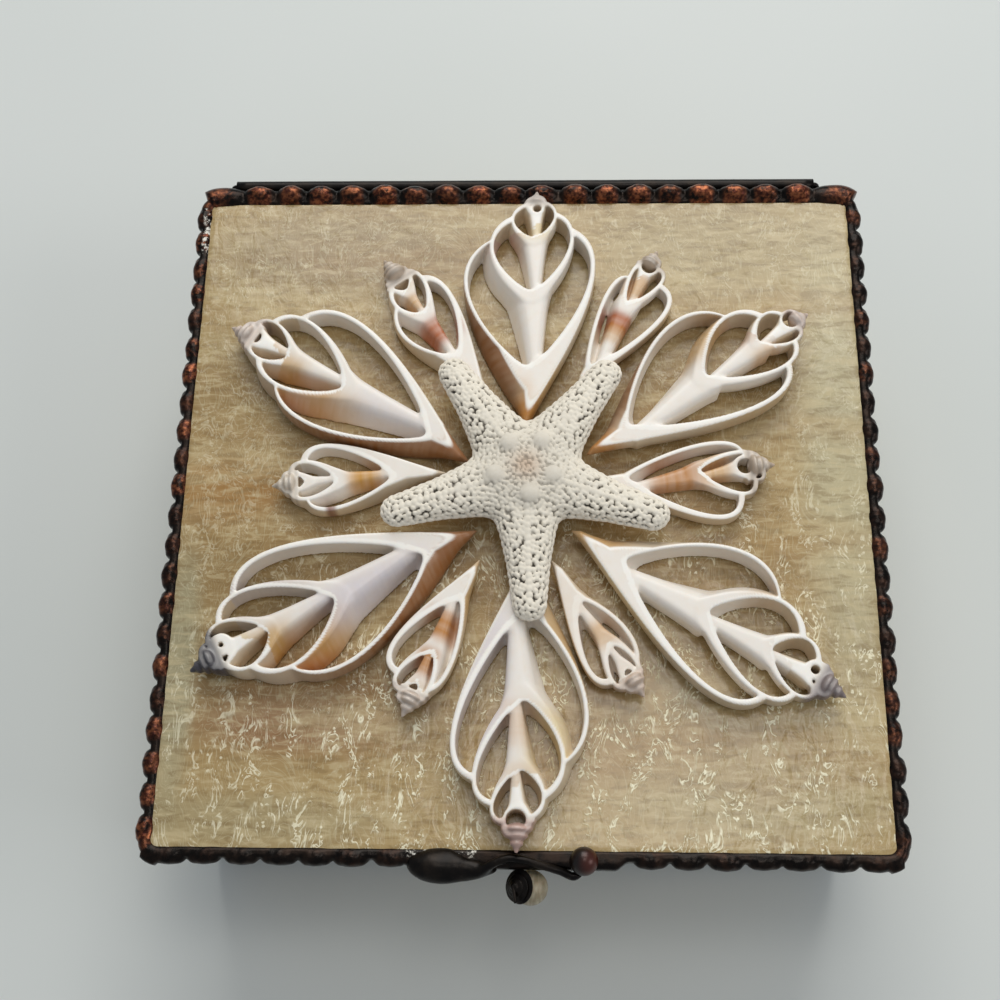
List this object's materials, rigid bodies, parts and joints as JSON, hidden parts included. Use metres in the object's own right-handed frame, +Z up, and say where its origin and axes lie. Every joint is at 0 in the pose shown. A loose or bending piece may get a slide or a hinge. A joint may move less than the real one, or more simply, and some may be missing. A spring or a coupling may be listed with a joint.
{
  "type": "stained glass jewelry box",
  "caption": "Square box of opal glass and dark solder with a hinged lid, on which sliced sea shells and a starfish form a rosette.",
  "frame": {"origin": "centre of the underside of the floor pane, on which the box stands", "axes": "+Z up, -Y towards the front with the pull, hinge along X at the back"},
  "size_m": [0.1584, 0.1689, 0.0666],
  "materials": {
    "opal_glass": "opaque streaky amber and cream opalescent glass, glossy and rippled",
    "patina_solder": "solder with a near black patina, half glossy",
    "beaded_rim": "beaded solder edge with black patina, worn to copper on the beads",
    "hinge_metal": "tube and wire with a near black patina",
    "dark_ball": "polished dark ball with a red-brown sheen",
    "snail_shell": "cream snail shell, smooth",
    "sea_shell": "white shell with cream and orange-brown patches, satin",
    "starfish": "dry white starfish, chalky and granular"
  },
  "bodies": {
    "base": {"front_glass": "opal_glass", "back_glass": "opal_glass", "left_glass": "opal_glass", "right_glass": "opal_glass", "floor_glass": "opal_glass", "seam_front_left": "patina_solder", "seam_front_right": "patina_solder", "seam_back_left": "patina_solder", "seam_back_right": "patina_solder", "top_channel": "patina_solder", "bottom_channel": "patina_solder", "hinge_wire": "hinge_metal"},
    "lid": {"lid_glass": "opal_glass", "lid_beaded_rim": "beaded_rim", "hinge_tube": "hinge_metal", "pull_wire": "patina_solder", "pull_ball": "dark_ball", "pull_snail": "snail_shell", "pull_coil": "patina_solder", "large_shell_back": "sea_shell", "large_shell_back_right": "sea_shell", "large_shell_front_right": "sea_shell", "large_shell_front": "sea_shell", "large_shell_front_left": "sea_shell", "large_shell_back_left": "sea_shell", "small_shell_back_left": "sea_shell", "small_shell_back_right": "sea_shell", "small_shell_right": "sea_shell", "small_shell_front_right": "sea_shell", "small_shell_front_left": "sea_shell", "small_shell_left": "sea_shell", "starfish": "starfish"}
  },
  "joints": [
    {"name": "lid_hinge", "type": "hinge", "parent": "base", "child": "lid", "pos_m": [0, 0.0782, 0.0517], "axis": [-1, 0, 0], "range_deg": [0, 105]}
  ]
}
